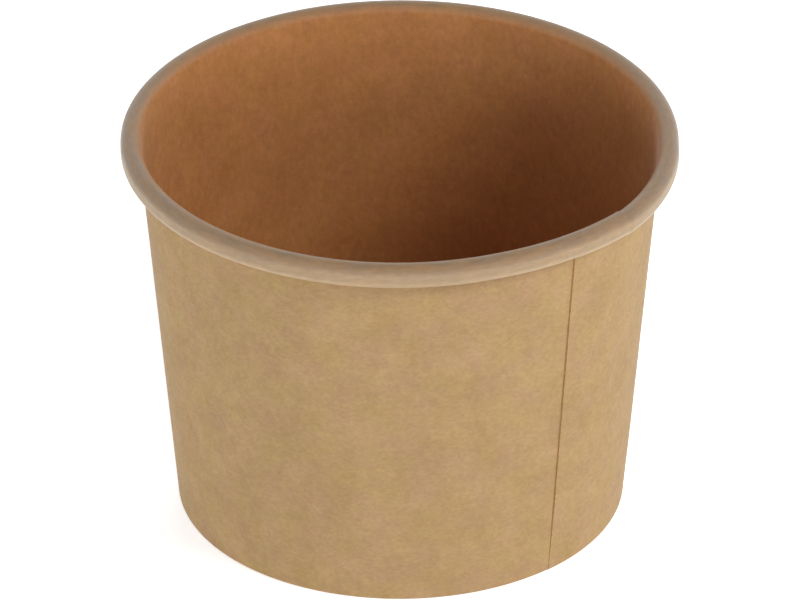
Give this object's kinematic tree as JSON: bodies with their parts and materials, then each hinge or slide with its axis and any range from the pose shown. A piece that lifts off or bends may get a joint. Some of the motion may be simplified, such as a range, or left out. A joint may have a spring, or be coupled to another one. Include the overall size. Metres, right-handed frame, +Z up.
{
  "type": "paper ice cream tub",
  "caption": "Round tapered tub of brown kraft paperboard with a rolled rim, a lapped side seam and a raised base, open at the top for ice cream or other food.",
  "frame": {"origin": "centre of the foot, on the table", "axes": "+Z up along the tub's axis, -Y to the front, with the side seam to the right of the front, towards +X"},
  "size_m": [0.09, 0.09, 0.0666],
  "materials": {
    "kraft_wall": "matte uncoated kraft board",
    "kraft_base": "matte kraft board with a thin sealed face"
  },
  "bodies": {
    "root": {"side_wall": "kraft_wall", "base_disc": "kraft_base"}
  },
  "joints": []
}
